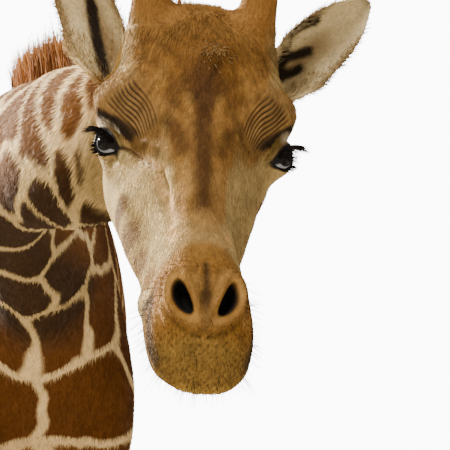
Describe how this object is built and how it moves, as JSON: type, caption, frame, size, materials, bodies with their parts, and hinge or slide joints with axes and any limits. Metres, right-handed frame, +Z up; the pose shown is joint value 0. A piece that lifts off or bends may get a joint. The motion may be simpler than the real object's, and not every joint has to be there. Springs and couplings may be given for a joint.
{
  "type": "giraffe",
  "caption": "Standing reticulated giraffe, neck stretched forward and head hanging, with a short mane, furred horns and cloven hooves.",
  "frame": {"origin": "on the floor, at the middle of the animal's outer box", "axes": "+Z up, the animal looks along -Y, +X to its left"},
  "size_m": [0.8348, 3.4676, 2.7522],
  "materials": {
    "coat": "short matt fur with brown patches in a pale net",
    "mane_hair": "stiff upright hair",
    "tail_hair": "long coarse black hair",
    "eye": "wet and glossy",
    "hoof": "worn horn"
  },
  "bodies": {
    "root": {"lower_jaw": "coat", "head": "coat", "neck": "coat", "leg_front_left": "coat", "leg_hind_left": "coat", "leg_front_right": "coat", "leg_hind_right": "coat", "trunk": "coat", "tail": "coat", "tail_tuft": "tail_hair", "ossicone_left": "coat", "eye_left": "eye", "ossicone_right": "coat", "eye_right": "eye", "ear_left": "coat", "ear_right": "coat", "mane": "mane_hair", "hoof_front_left_outer": "hoof", "hoof_front_left_inner": "hoof", "hoof_hind_left_outer": "hoof", "hoof_hind_left_inner": "hoof", "hoof_front_right_outer": "hoof", "hoof_front_right_inner": "hoof", "hoof_hind_right_outer": "hoof", "hoof_hind_right_inner": "hoof"}
  },
  "joints": []
}
